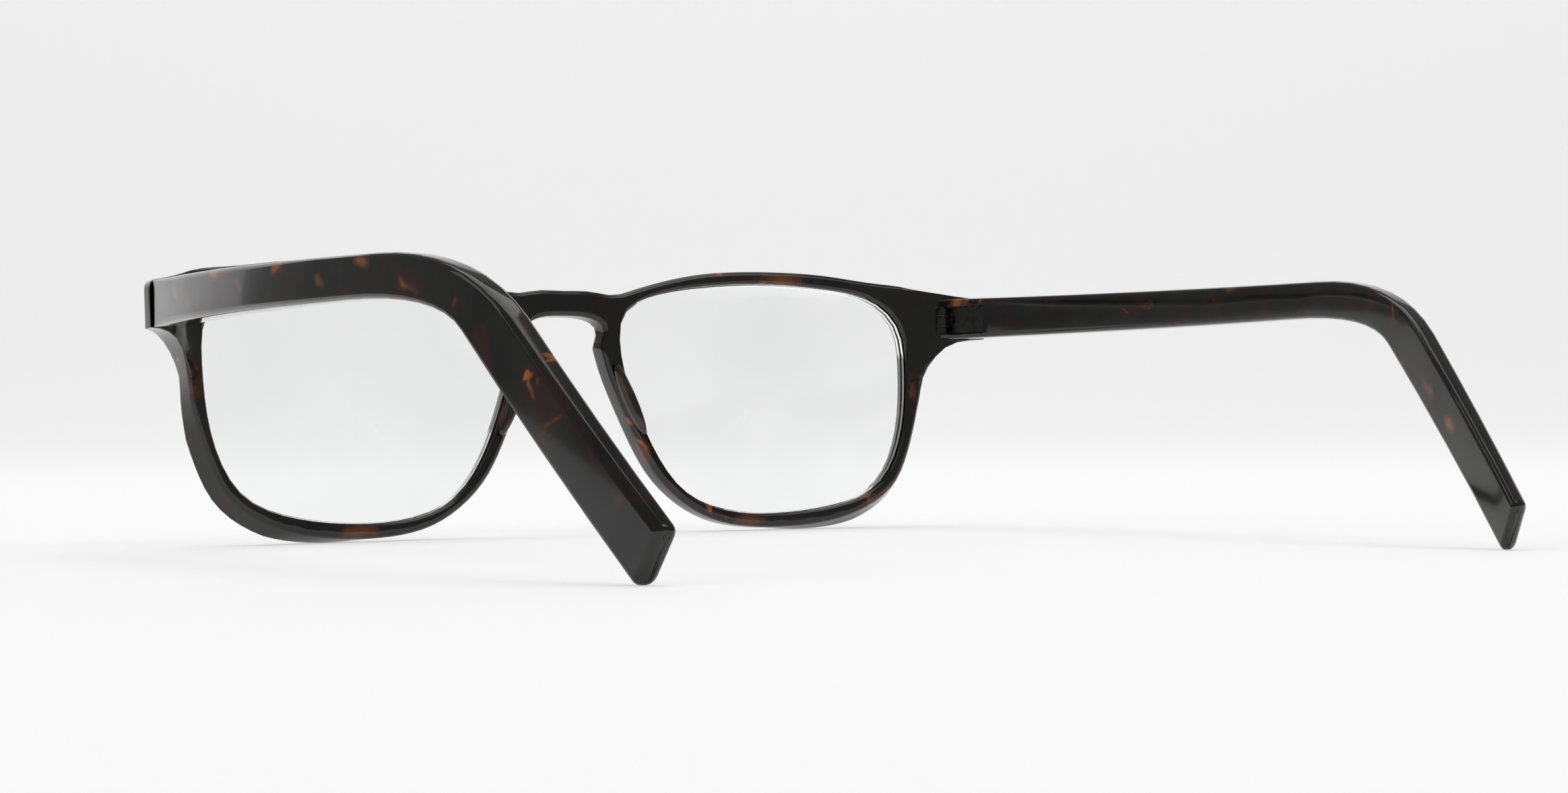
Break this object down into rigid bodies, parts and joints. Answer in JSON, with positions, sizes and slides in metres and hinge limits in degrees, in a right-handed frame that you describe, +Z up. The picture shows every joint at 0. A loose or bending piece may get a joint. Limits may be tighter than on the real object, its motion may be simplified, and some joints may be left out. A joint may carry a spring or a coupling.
{
  "type": "eyeglasses frame",
  "caption": "Tortoise acetate eyeglasses with a keyhole bridge, clear rectangular lenses and square-tipped temples that fold on sunk pin hinges.",
  "frame": {"origin": "middle of the bounding box at its bottom, where the rims and the temple tips stand on the table with the temples open", "axes": "+X to the wearer's left, -Y the way the wearer looks, +Z up"},
  "size_m": [0.1486, 0.1386, 0.0409],
  "materials": {
    "tortoise_acetate": "polished dark tortoise",
    "pad_acetate": "polished dark tortoise",
    "clear_lens": "clear with a faint green reflection",
    "core_nickel": "drawn wire",
    "dark_steel": "darkened",
    "nylon_washer": "plain"
  },
  "bodies": {
    "front": {"frame_front": "tortoise_acetate", "lens_left": "clear_lens", "lens_right": "clear_lens", "nose_pad_left": "pad_acetate", "nose_pad_right": "pad_acetate", "front_hinge_leaf_left": "dark_steel", "front_hinge_leaf_right": "dark_steel", "hinge_screw_left": "dark_steel", "hinge_screw_right": "dark_steel"},
    "left_temple": {"temple_left": "tortoise_acetate", "core_wire_left": "core_nickel", "temple_hinge_leaf_left": "dark_steel", "upper_washer_left": "nylon_washer", "lower_washer_left": "nylon_washer"},
    "right_temple": {"temple_right": "tortoise_acetate", "core_wire_right": "core_nickel", "temple_hinge_leaf_right": "dark_steel", "upper_washer_right": "nylon_washer", "lower_washer_right": "nylon_washer"}
  },
  "joints": [
    {"name": "left_temple_fold", "type": "hinge", "parent": "front", "child": "left_temple", "pos_m": [0.064, -0.05652, 0.03318], "axis": [0, 0, 1], "range_deg": [0, 88]},
    {"name": "right_temple_fold", "type": "hinge", "parent": "front", "child": "right_temple", "pos_m": [-0.064, -0.05652, 0.03318], "axis": [0, 0, -1], "range_deg": [0, 81]}
  ]
}
